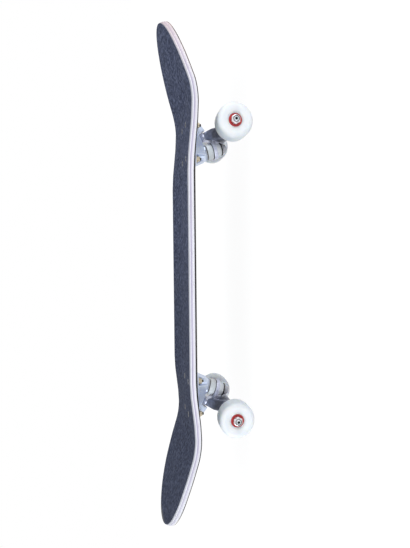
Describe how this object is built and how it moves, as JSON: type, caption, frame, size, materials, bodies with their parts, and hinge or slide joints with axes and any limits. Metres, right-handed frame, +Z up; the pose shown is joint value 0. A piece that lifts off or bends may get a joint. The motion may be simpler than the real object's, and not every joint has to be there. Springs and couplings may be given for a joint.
{
  "type": "skateboard",
  "caption": "Street skateboard: kicked and concave laminated deck with grip tape, on two leaning trucks with free-rolling wheels.",
  "frame": {"origin": "on the ground, under the middle of the deck's length and width", "axes": "+X towards the nose, +Y to the left, +Z up from the ground"},
  "size_m": [0.8117, 0.2094, 0.1355],
  "materials": {
    "veneer_dark": "stained maple veneer",
    "veneer_natural": "natural maple veneer",
    "veneer_lavender": "dyed maple veneer",
    "grip": "abrasive grit",
    "cast_aluminium": "tumbled casting",
    "steel": "zinc plated",
    "fastener_nut": "yellow zinc",
    "urethane_bushing": "smooth urethane",
    "urethane_wheel": "smooth urethane",
    "bearing_steel": "ground",
    "bearing_seal": "moulded",
    "pivot_plastic": "moulded",
    "black_steel": "black oxide"
  },
  "bodies": {
    "deck": {"deck_ply_1": "veneer_dark", "deck_ply_2": "veneer_natural", "deck_ply_3": "veneer_natural", "deck_ply_4": "veneer_lavender", "deck_ply_5": "veneer_lavender", "deck_ply_6": "veneer_natural", "deck_ply_7": "veneer_natural", "grip_tape": "grip", "front_baseplate": "cast_aluminium", "front_pivot_cup": "pivot_plastic", "front_kingpin": "steel", "front_kingpin_nut": "steel", "front_boardside_washer": "steel", "front_roadside_washer": "steel", "front_boardside_bushing": "urethane_bushing", "front_roadside_bushing": "urethane_bushing", "front_mounting_bolts": "black_steel", "front_mounting_nuts": "fastener_nut", "rear_baseplate": "cast_aluminium", "rear_pivot_cup": "pivot_plastic", "rear_kingpin": "steel", "rear_kingpin_nut": "steel", "rear_boardside_washer": "steel", "rear_roadside_washer": "steel", "rear_boardside_bushing": "urethane_bushing", "rear_roadside_bushing": "urethane_bushing", "rear_mounting_bolts": "black_steel", "rear_mounting_nuts": "fastener_nut"},
    "front_truck": {"front_hanger": "cast_aluminium", "front_axle": "steel", "front_axle_nuts": "steel", "front_speed_rings": "steel", "front_bearing_spacers": "steel", "front_bearing_inner_races": "bearing_steel"},
    "front_left_wheel": {"front_left_wheel": "urethane_wheel", "front_left_bearing_outer_races": "bearing_steel", "front_left_bearing_seals": "bearing_seal"},
    "front_right_wheel": {"front_right_wheel": "urethane_wheel", "front_right_bearing_outer_races": "bearing_steel", "front_right_bearing_seals": "bearing_seal"},
    "rear_truck": {"rear_hanger": "cast_aluminium", "rear_axle": "steel", "rear_axle_nuts": "steel", "rear_speed_rings": "steel", "rear_bearing_spacers": "steel", "rear_bearing_inner_races": "bearing_steel"},
    "rear_left_wheel": {"rear_left_wheel": "urethane_wheel", "rear_left_bearing_outer_races": "bearing_steel", "rear_left_bearing_seals": "bearing_seal"},
    "rear_right_wheel": {"rear_right_wheel": "urethane_wheel", "rear_right_bearing_outer_races": "bearing_steel", "rear_right_bearing_seals": "bearing_seal"}
  },
  "joints": [
    {"name": "front_steer", "type": "hinge", "parent": "deck", "child": "front_truck", "pos_m": [0.1914, 0, 0.0408], "axis": [0.7545, 0, 0.6564], "range_deg": [-15, 15], "stiffness_Nm_per_rad": 60, "deforming": ["front_boardside_bushing", "front_roadside_bushing"]},
    {"name": "front_left_wheel_spin", "type": "hinge", "parent": "front_truck", "child": "front_left_wheel", "pos_m": [0.21632, 0.0847, 0.027], "axis": [0, 1, 0], "continuous": true},
    {"name": "front_right_wheel_spin", "type": "hinge", "parent": "front_truck", "child": "front_right_wheel", "pos_m": [0.21632, -0.0847, 0.027], "axis": [0, 1, 0], "continuous": true},
    {"name": "rear_steer", "type": "hinge", "parent": "deck", "child": "rear_truck", "pos_m": [-0.2073, 0, 0.0408], "axis": [-0.7545, 0, 0.6564], "range_deg": [-15, 15], "stiffness_Nm_per_rad": 60, "deforming": ["rear_boardside_bushing", "rear_roadside_bushing"]},
    {"name": "rear_left_wheel_spin", "type": "hinge", "parent": "rear_truck", "child": "rear_left_wheel", "pos_m": [-0.23222, 0.0847, 0.027], "axis": [0, 1, 0], "continuous": true},
    {"name": "rear_right_wheel_spin", "type": "hinge", "parent": "rear_truck", "child": "rear_right_wheel", "pos_m": [-0.23222, -0.0847, 0.027], "axis": [0, 1, 0], "continuous": true}
  ]
}
